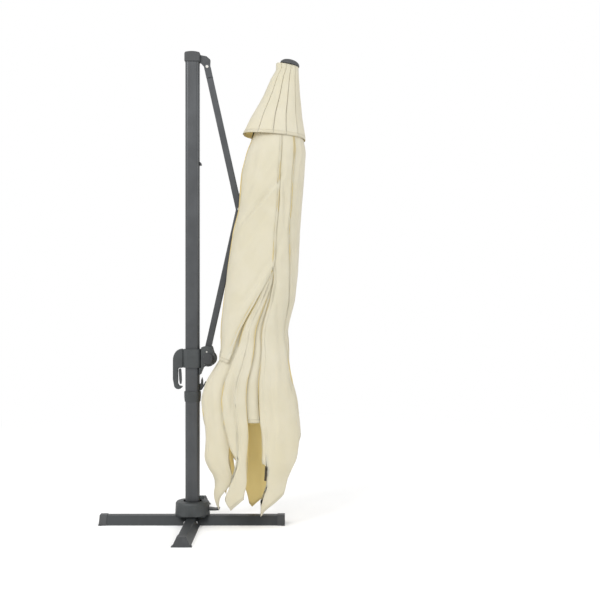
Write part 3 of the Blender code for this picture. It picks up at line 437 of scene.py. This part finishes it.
# Cuts the stack of sections at each column's hem: a row at share t of a column lies at the height
# top - t (top - hem). The top is one height, or two, at the mast side and the far side, with a
# straight cut between them.
def drape(bundle, columns, ends, rows, top):
    steps = cover["steps"]
    dense = throughPoints(np.array(columns), steps)
    hem = np.interp(np.arange(len(dense)) / steps, np.arange(len(ends)), ends)
    hem = np.clip(hem, bundle.z[-1], None)
    if np.ndim(top):
        start = dense[:, 0, 0]
        share = (start - start.min()) / (start.max() - start.min())
        top = top[0] + (top[1] - top[0]) * share[None, :]
    t = np.linspace(0, 1, rows)[:, None]
    z = top + (hem[None, :] - top) * t
    index = (bundle.z[0] - z) / (bundle.z[0] - bundle.z[-1]) * (len(bundle.z) - 1)
    low = np.clip(index.astype(int), 0, len(bundle.z) - 2)
    part = (index - low)[..., None]
    column = np.broadcast_to(np.arange(len(dense)), z.shape)
    xy = dense[column, low] * (1 - part) + dense[column, low + 1] * part
    return np.concatenate([xy, z[..., None]], -1)


# u is the length along the widest row and v the length down the column, so threads keep their size.
def clothUV(points):
    across = np.linalg.norm(np.diff(points, axis=1), axis=-1)
    u = np.concatenate([[0.0], np.cumsum(across.max(axis=0))])
    down = np.linalg.norm(np.diff(points, axis=0), axis=-1)
    v = np.concatenate([np.zeros((1, points.shape[1])), np.cumsum(down, axis=0)])
    return np.stack([np.broadcast_to(u, v.shape), v], -1)


# The grid's normals, cross products of its two gradients, and the sign that turned them outwards.
def outwardNormals(points):
    normal = np.cross(np.gradient(points, axis=0), np.gradient(points, axis=1))
    normal /= np.linalg.norm(normal, axis=-1, keepdims=True) + 1e-9
    spoke = points - points.mean(axis=(0, 1))
    spoke[..., 2] = 0.0
    sign = np.sign((normal * spoke).sum())
    return normal * sign, sign


ripples = {"waves": (16, 5.0), "crossWaves": (10, 6.0, 0.6), "crossShare": 0.4,
           "grow": 0.5, "least": 0.2,  # full size this far down the cloth, and their share at its top
           "fadeOver": 0.25, "fadeLeast": 0.2, "ridge": 0.7, "ridgeOff": 1.8, "ridgeWide": 1.4}


# Soft waves along the sheet's normal, growing down the cloth, and creases. A crease is a line in X and
# Z with its depth and width: the push at a distance d from it is -depth exp(-(d / width)^2), with a
# low ridge beside it, fading to its ends.
def rippled(points, amount, creases, weights, seed):
    normal, _ = outwardNormals(points)
    u, v = np.moveaxis(clothUV(points), -1, 0)
    weight = np.interp(np.arange(points.shape[1]) / cover["steps"], np.arange(len(weights)), weights)
    wave = smoothNoise(u, v, seed, *ripples["waves"])
    wave += ripples["crossShare"] * smoothNoise(v, u, seed + 1, *ripples["crossWaves"])
    push = wave * amount * np.clip(v / ripples["grow"], ripples["least"], 1.0)
    x, z = points[..., 0], points[..., 2]
    for x1, z1, x2, z2, deep, wide in creases:
        way = np.array([x2 - x1, z2 - z1])
        length = np.linalg.norm(way)
        way = way / length
        along = ((x - x1) * way[0] + (z - z1) * way[1]) / length
        off = (x - x1) * way[1] - (z - z1) * way[0]
        fade = np.clip(np.minimum(along, 1 - along) / ripples["fadeOver"] + ripples["fadeLeast"], 0, 1)
        ridge = np.exp(-((off + ripples["ridgeOff"] * wide) / (ripples["ridgeWide"] * wide)) ** 2)
        push -= deep * fade * (np.exp(-(off / wide) ** 2) - ripples["ridge"] * ridge)
    return points + normal * (push * weight)[..., None]


# The grid's area: half the length of each quad's two cross products.
def area(points):
    a = np.cross(points[1:, :-1] - points[:-1, :-1], points[:-1, 1:] - points[:-1, :-1])
    b = np.cross(points[1:, 1:] - points[1:, :-1], points[:-1, 1:] - points[1:, 1:])
    return float(np.linalg.norm(a, axis=-1).sum() + np.linalg.norm(b, axis=-1).sum()) / 2


# The last width of each column, run out again in a few rows and lifted off the cloth along its normal.
def hemBand(points, width, lift, rows=5):
    normal, _ = outwardNormals(points)
    down = np.linalg.norm(np.diff(points, axis=0), axis=-1)
    length = np.concatenate([np.zeros((1, points.shape[1])), np.cumsum(down, axis=0)])
    place = length[-1] - width * np.linspace(1, 0, rows)[:, None]
    index = (length[None] < place[:, None]).sum(axis=1).clip(1, len(points) - 1)
    column = np.broadcast_to(np.arange(points.shape[1]), index.shape)
    part = (place - length[index - 1, column]) / (length[index, column] - length[index - 1, column])
    part = np.clip(part, 0, 1)[..., None]
    lifted = points + normal * lift
    return lifted[index - 1, column] * (1 - part) + lifted[index, column] * part


# A sheet and its hem band, each with a wall and the underside's cloth inside, for one CAD shell.
def clothPiece(name, points, replaced, rests):
    _, sign = outwardNormals(points)
    band = hemBand(points, cover["hemWidth"], cover["hemLift"])
    for pieceName, grid, outer, thickness in ((name, points, outerCloth, cover["thickness"]),
                                              (name + "Hem", band, hemCloth, cover["hemLift"] * 0.8)):
        piece = makeMesh(pieceName, grid, gridFaces(*grid.shape[:2], flip=sign > 0), [outer, underCloth],
                         uv=clothUV(grid))
        wall = piece.modifiers.new("wall", "SOLIDIFY")
        wall.thickness = thickness
        wall.offset = -1.0
        wall.material_offset = 1
        wall.use_even_offset = False
        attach(piece, "arm")
    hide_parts(replaced)
    print(name, "made:", round(area(points), 2), "square metres")


shell = Bundle("canopy_front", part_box("canopy_front")[1].z, cover["lowest"])
top = shell.z[0]
over = shell.overHeight
shell.left = shell.left - over((2.3, 0.0), (2.1, 0.006), (1.9, 0.007), (1.7, 0.004), (1.6, 0.0), (0.45, 0.0),
                               (0.33, 0.012), (0.264, 0.008), (0.19, 0.050), (0.10, 0.060), (0.06, 0.060),
                               width=13)

# The two halves meet in a seam along the mast-side mid rib and a seam along the far one.
seam = {"x": 0.50, "z": 2.465, "lean": 0.2035, "outside": 0.012,  # its line down the rib
        "edgeIn": 0.016, "wallClear": 0.001,
        "way": ((0.0, 0.55), (0.12, 1.0), (0.4, 1.0), (0.75, 1.0)),  # shares of the slot's wall, and of its y
        "hems": (1.03, 1.02, 1.00, 0.98, 0.96), "weights": (0, 0, 0.1, 0.1, 0.2), "touch": 0.0006}
seamX = seam["x"] - seam["lean"] * (seam["z"] - shell.z) - seam["outside"]


# One half: from its seam along the wall of the arm's slot to the mast side, then over its faces.
def coverHalf(side, faces, seed):
    columns, ends, weights = pleats(shell, side, faces, 2, seed)
    wallY = side * (shell.gapLeft + seam["wallClear"])
    edge = np.minimum(shell.left + seam["edgeIn"], seamX)
    places = [(0.0, side * seam["touch"])] + [(along, wallY * deep) for along, deep in seam["way"]]
    entry = [np.stack([seamX + (edge - seamX) * along, np.broadcast_to(y, seamX.shape)], -1)
             for along, y in places]
    return entry + columns, list(seam["hems"]) + ends, list(seam["weights"]) + weights


frontFaces = [
    {"low": over((top, -0.01), (0.07, -0.02)),
     "high": over((top, 0.50), (1.88, 0.625), (1.42, 0.665), (1.33, 0.59), (0.98, 0.22), (0.90, 0.17),
                  (0.07, 0.02)),
     "hem": [(0, 0.935), (0.3, 0.905), (1, 0.889)], "reach": (0.98, 1.02, 1.0), "columns": 15},
    {"low": over((top, 0.44), (1.88, 0.56), (1.42, 0.605), (1.33, 0.55), (0.98, 0.17), (0.90, 0.02),
                 (0.07, -0.01)),
     "high": over((top, 0.47), (1.88, 0.59), (1.42, 0.635), (1.33, 0.61), (1.10, 0.40), (0.90, 0.27),
                  (0.52, 0.25), (0.3, 0.27), (0.1, 0.24)),
     "hem": [(0, 0.60), (0.01, 0.48), (0.02, 0.395), (0.05, 0.350), (0.10, 0.30), (0.13, 0.262),
             (0.145, 0.19), (0.18, 0.095), (0.30, 0.125), (0.52, 0.175), (0.75, 0.215), (0.90, 0.25),
             (1, 0.285)],
     "reach": (0.98, 0.97, 0.86), "columns": 25, "tucked": 0.88},
    {"low": over((top, 0.46), (1.88, 0.58), (1.42, 0.62), (1.33, 0.59), (1.10, 0.37), (0.90, 0.225),
                 (0.55, 0.232), (0.44, 0.222), (0.37, 0.30), (0.28, 0.05), (0.16, -0.16), (0.10, -0.10),
                 width=11),
     "high": over((top, 0.485), (1.88, 0.605), (1.42, 0.655), (1.33, 0.66), (1.10, 0.545), (0.90, 0.485),
                  (0.5, 0.474), (0.3, 0.47), (0.10, 0.44)),
     "hem": [(0, 0.55), (0.25, 0.44), (0.50, 0.364), (0.555, 0.28), (0.58, 0.155), (0.60, 0.098),
             (0.80, 0.13), (1, 0.171)],
     "reach": (0.99, 1.03, 1.01), "columns": 21, "tucked": 0.90},
    {"low": over((top, 0.475), (1.88, 0.595), (1.42, 0.64), (1.33, 0.65), (1.10, 0.535), (0.90, 0.475),
                 (0.72, 0.479), (0.5, 0.484)),
     "high": over((top, 0.495), (1.88, 0.615), (1.42, 0.665), (1.33, 0.70), (1.10, 0.64), (0.90, 0.61),
                  (0.72, 0.60), (0.5, 0.592)),
     "hem": [(0, 0.578), (1, 0.578)], "reach": (0.94, 0.97, 0.94), "columns": 8, "tucked": 0.92},
    {"low": over((top, 0.47), (1.88, 0.595), (1.42, 0.64), (1.33, 0.68), (1.10, 0.63), (0.90, 0.605),
                 (0.72, 0.608), (0.58, 0.60), (0.37, 0.63), (0.335, 0.675), (0.215, 0.69), (0.165, 0.61),
                 (0.08, 0.675), width=9),
     "high": over((top, 0.80), (1.6, 0.84), (1.2, 0.93), (0.7, 0.99), (0.5, 1.0), (0.07, 1.0)),
     "hem": [(0, 0.365), (0.08, 0.355), (0.10, 0.33), (0.125, 0.209), (0.14, 0.167), (0.16, 0.070),
             (0.50, 0.125), (0.965, 0.185), (0.98, 0.31), (0.99, 0.40), (1, 0.50)],
     "reach": (1.01, 1.03, 0.99), "columns": 27},
    {"low": over((top, 0.78), (1.6, 0.82), (1.2, 0.92), (0.6, 0.97), (0.07, 0.97)),
     "high": over((top, 1.0), (0.07, 1.0)),
     "hem": [(0, 0.55), (0.5, 0.75), (1, 1.03)], "reach": (0.97, 0.98, 1.0), "columns": 9}]
frontCreases = [(0.50, 1.90, 0.235, 1.585, 0.010, 0.010), (0.53, 1.60, 0.30, 1.24, 0.004, 0.012),
                (0.47, 2.03, 0.29, 1.78, 0.004, 0.012), (0.50, 1.52, 0.22, 1.13, 0.005, 0.013),
                (0.44, 1.72, 0.23, 1.42, 0.004, 0.016), (0.402, 1.289, 0.265, 0.987, 0.005, 0.008),
                (0.30, 1.10, 0.262, 0.98, 0.003, 0.006), (0.46, 1.30, 0.50, 0.75, 0.004, 0.014),
                (0.53, 1.05, 0.545, 0.60, 0.004, 0.012), (0.43, 0.9, 0.46, 0.4, 0.004, 0.014),
                (0.36, 2.05, 0.30, 1.75, 0.003, 0.014), (0.55, 2.05, 0.50, 1.55, 0.003, 0.016),
                (0.24, 0.85, 0.22, 0.60, 0.003, 0.008)]

rearFaces = [
    {"low": over((top, -0.01), (0.07, -0.02)),
     "high": over((top, 0.17), (1.2, 0.14), (0.9, 0.06), (0.07, 0.04)),
     "hem": [(0, 0.96), (1, 0.90)], "reach": (0.98, 1.0, 0.99), "columns": 6},
    {"low": over((top, 0.15), (1.2, 0.11), (0.9, 0.05), (0.07, 0.03)),
     "high": over((top, 0.34), (1.5, 0.32), (1.0, 0.28), (0.5, 0.26), (0.08, 0.20)),
     "hem": [(0, 0.90), (0.02, 0.60), (0.05, 0.40), (0.3, 0.26), (0.5, 0.13), (1, 0.22)],
     "reach": (0.96, 0.98, 0.90), "columns": 15},
    {"low": over((top, 0.32), (1.5, 0.29), (1.0, 0.25), (0.5, 0.27), (0.08, 0.20)),
     "high": over((top, 0.57), (1.5, 0.59), (0.9, 0.62), (0.5, 0.66), (0.08, 0.90)),
     "hem": [(0, 0.34), (0.2, 0.25), (0.45, 0.055), (0.7, 0.10), (1, 0.16)], "reach": (0.90, 0.70, 0.94),
     "columns": 19},
    {"low": over((top, 0.56), (1.5, 0.58), (0.9, 0.63), (0.5, 0.69)),
     "high": over((top, 0.70), (1.5, 0.72), (0.9, 0.76), (0.5, 0.79)),
     "hem": [(0, 0.57), (1, 0.57)], "reach": (0.93, 0.96, 0.92), "columns": 8},
    {"low": over((top, 0.69), (1.5, 0.71), (0.9, 0.75), (0.5, 0.80), (0.08, 0.84)),
     "high": over((top, 0.90), (1.2, 0.91), (0.6, 0.98), (0.07, 0.97)),
     "hem": [(0, 0.33), (0.2, 0.13), (0.6, 0.18), (0.9, 0.38), (1, 0.52)], "reach": (1.0, 1.02, 0.99),
     "columns": 15},
    {"low": over((top, 0.88), (1.2, 0.90), (0.6, 0.95), (0.07, 0.96)), "high": over((top, 1.0), (0.07, 1.0)),
     "hem": [(0, 0.62), (0.5, 0.80), (1, 1.03)], "reach": (0.96, 0.98, 1.0), "columns": 7}]
rearCreases = [(0.40, 1.7, 0.30, 1.1, 0.004, 0.010), (0.45, 1.4, 0.50, 0.8, 0.004, 0.010),
               (0.30, 1.2, 0.20, 0.7, 0.004, 0.010)]

for half, side, faces, creases, pleatSeed, waveSeed in (("front", -1, frontFaces, frontCreases, 3, 8),
                                                        ("rear", 1, rearFaces, rearCreases, 4, 21)):
    columns, ends, weights = coverHalf(side, faces, pleatSeed)
    points = drape(shell, columns, ends, cover["rows"], top)
    points = rippled(points, cover["ripple"], creases, weights, waveSeed)
    ribs = ["rib_" + half + place for place in ("_left", "_mid", "_right")]
    clothPiece("cover" + half.capitalize(), points, "canopy_" + half,
               ribs + ["crown"])

# The vent flap is a small cloth over the main one, closed all round and drawn out over the arm.
vent = {"flat": (1.0, 0.75), "rows": 70, "top": 2.530, "low": 2.08,
        "cut": (2.520, 2.497), "hem": (2.130, 2.098),  # at the mast side and at the far side
        "slitTop": (0.006, -0.004), "slitHem": (0.004, 0.002),  # how far a face stays off a slit
        "reach": (0.955, 1.02, 0.985), "columns": 7, "nose": 0.006, "noseHem": 0.004, "ripple": 0.0012}
flap = Bundle("canopy_vent", vent["top"], vent["low"])
flap.left = flap.left - flap.overHeight((2.53, 0.012), (2.44, 0.012), (2.30, 0.004), (2.08, 0.003))
flap.gapLeft = flap.overHeight((2.53, 0.018), (2.3, 0.020), (2.08, 0.024))
flap.gapRight = np.full_like(flap.z, seam["touch"])


# The faces between slits, each slit at (share at the top, share at the hem).
def flapHalf(side, slits, seed):
    faces = []
    nearHem, farHem = vent["hem"]
    for (topLow, hemLow), (topHigh, hemHigh) in zip(slits, slits[1:]):
        low = flap.overHeight((vent["top"], topLow + vent["slitTop"][0]),
                              (vent["low"], hemLow + vent["slitHem"][0]))
        high = flap.overHeight((vent["top"], topHigh + vent["slitTop"][1]),
                               (vent["low"], hemHigh + vent["slitHem"][1]))
        hem = [(end, nearHem + (farHem - nearHem) * share) for end, share in ((0, hemLow), (1, hemHigh))]
        faces.append({"low": low, "high": high, "hem": hem, "reach": vent["reach"],
                      "columns": vent["columns"]})
    return pleats(flap, side, faces, 1, seed)


frontPart = flapHalf(-1, [(0.0, 0.0), (0.20, 0.26), (0.42, 0.50), (0.64, 0.70), (0.84, 0.88), (1.0, 1.0)], 5)
rearPart = flapHalf(1, [(0.0, 0.0), (0.22, 0.30), (0.42, 0.50), (0.66, 0.68), (0.82, 0.86), (1.0, 1.0)], 6)
# a ring: out along the front from the mast side, back along the rear, closed over the arm
nose = np.stack([flap.left - vent["nose"], np.zeros_like(flap.left)], -1)
noseHem = vent["hem"][0] + vent["noseHem"]
columns, ends, weights = [[tip] + front + rear[::-1][1:] + [tip]
                          for tip, front, rear in zip((nose, noseHem, 0.0), frontPart, rearPart)]
points = rippled(drape(flap, columns, ends, vent["rows"], vent["cut"]), vent["ripple"], [], weights, 31)
clothPiece("ventFlap", points, "canopy_vent", ["coverFront", "coverRear"])

# A head's profile holds (radius, height, 1 where it is a hexagon). The bolts stand on the half beams'
# flanks, and the screws on the two cheeks, round the winch disc.
fixings = {"steps": 36, "sharpFrom": 40, "beamTopHalf": 0.022, "boltIn": 0.045, "screwRing": 0.0366,
           "screwAngles": (38, -52, -120),
           "bolt": [(0.0001, 0.0062, 0), (0.006, 0.0065, 0), (0.0085, 0.0062, 1), (0.0095, 0.0050, 1),
                    (0.0095, 0.0016, 1), (0.0130, 0.0016, 0), (0.0130, 0.0004, 0), (0.0001, 0.0004, 0)],
           "screw": [(0.0001, 0.0011, 0), (0.0018, 0.0011, 1), (0.0020, 0.0021, 1), (0.0034, 0.0020, 0),
                     (0.0042, 0.0011, 0), (0.0044, 0.0002, 0), (0.0001, 0.0002, 0)]}


# Surface of revolution of a profile. Where it is a hexagon the radius is multiplied by
# cos(30 degrees) / cos(angle mod 60 degrees - 30 degrees), over that factor's mean.
def headSurface(profile):
    radius, height, hexagonal = np.array(profile, float).T
    angle = np.linspace(0, 2 * math.pi, fixings["steps"], endpoint=False)
    facet = math.cos(math.pi / 6) / np.cos((angle % (math.pi / 3)) - math.pi / 6)
    ring = radius[:, None] * (1 + hexagonal[:, None] * (facet / facet.mean() - 1))
    level = np.broadcast_to(height[:, None], ring.shape)
    return np.stack([ring * np.cos(angle), ring * np.sin(angle), level], -1)


# The same head at several (place, outward direction) pairs, as one mesh: each point of the head is
# turned to axes whose third is the outward direction, and moved to the place.
def placedHeads(name, profile, places, body):
    head = headSurface(profile)
    rows, columns = head.shape[:2]
    quads = gridFaces(rows, columns, wrap=True)
    points, faces = [], []
    for k, (place, way) in enumerate(places):
        way = np.array(way, float) / np.linalg.norm(way)
        side = np.cross((0.0, 0.0, 1.0), way)
        side /= np.linalg.norm(side)
        axes = np.stack([side, np.cross(way, side), way])
        points.append(head.reshape(-1, 3) @ axes + np.array(place))
        faces.append(quads + k * rows * columns)
    piece = makeMesh(name, np.concatenate(points), np.concatenate(faces), [blackZinc])
    piece.data.set_sharp_from_angle(angle=math.radians(fixings["sharpFrom"]))
    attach(piece, body)


boltPlaces, screwPlaces = [], []
discLow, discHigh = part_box("crank_disc")
centreX, centreZ = (discLow.x + discHigh.x) / 2, (discLow.z + discHigh.z) / 2
for half, side in (("front", -1), ("rear", 1)):
    low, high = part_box("half_beam_" + half)
    rise = high.z - low.z
    run = high.x - fixings["beamTopHalf"]
    along = side * (min(abs(low.y), abs(high.y)) + fixings["boltIn"])
    for flank in (-1, 1):
        boltPlaces.append(((flank * (high.x - run / 2), along, low.z + rise / 2), (flank * rise, 0.0, run)))
    low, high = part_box("housing_" + half)
    face = low.y if side < 0 else high.y
    for degrees in fixings["screwAngles"]:
        angle = math.radians(degrees)
        place = (centreX + fixings["screwRing"] * math.cos(angle), face,
                 centreZ + fixings["screwRing"] * math.sin(angle))
        screwPlaces.append((place, (0.0, side, 0.0)))
placedHeads("baseBolts", fixings["bolt"], boltPlaces, "base")
placedHeads("housingScrews", fixings["screw"], screwPlaces, "slider")
print("fixings placed")

studio = {"floorHalf": 90.0, "floorTones": ((0.93, 0.93, 0.93), (0.96, 0.96, 0.96)), "mottle": 3.0,
          "middle": 0.3, "fadeFrom": 2.0, "fadeTo": 5.0,  # where the floor starts and ends fading to white
          "worldStrength": 1.0, "aim": (0.3, 0, 1.2),
          "keyLight": {"place": (-2.5, -4.0, 4.5), "size": 2.5, "power": 160},
          "fillLight": {"place": (4.5, -3.0, 3.0), "size": 3.0, "power": 70}}


# Pale and matt near the object, and white light further than fadeTo from its middle.
def floorMaterial():
    g = Graph("paleFloor")
    place = g.place()
    across, along, _ = g.split(place)
    distance = ((across - studio["middle"]) ** 2.0 + along ** 2.0).math("SQRT")
    tone = g.mix(g.noise(place, studio["mottle"]), *studio["floorTones"])
    matt = g.add("ShaderNodeBsdfDiffuse", None, {"Color": tone})
    white = g.add("ShaderNodeEmission", None, {"Color": (1.0, 1.0, 1.0, 1.0), "Strength": 1.0})
    fade = distance.step(studio["fadeFrom"], studio["fadeTo"])
    return g.finish(g.add("ShaderNodeMixShader", None, {0: fade, 1: matt, 2: white}))


# A square area light that looks at the studio's aim.
def softLight(name):
    light = studio[name]
    data = bpy.data.lights.new(name, "AREA")
    data.size = light["size"]
    data.energy = light["power"]
    lamp = bpy.data.objects.new(name, data)
    bpy.context.scene.collection.objects.link(lamp)
    lamp.location = light["place"]
    away = Vector(light["place"]) - Vector(studio["aim"])
    lamp.rotation_euler = away.to_track_quat("Z", "Y").to_euler()


corners = np.array([(-1, -1, 0), (1, -1, 0), (1, 1, 0), (-1, 1, 0)]) * studio["floorHalf"]
floor = makeMesh("floor", corners, [(0, 1, 2, 3)], [floorMaterial()], smooth=False)
world = bpy.data.worlds.new("studioWorld")
bpy.context.scene.world = world
world.use_nodes = True
background = world.node_tree.nodes["Background"]
background.inputs["Color"].default_value = (1.0, 1.0, 1.0, 1.0)
background.inputs["Strength"].default_value = studio["worldStrength"]
softLight("keyLight")
softLight("fillLight")
print("floor and lights set")
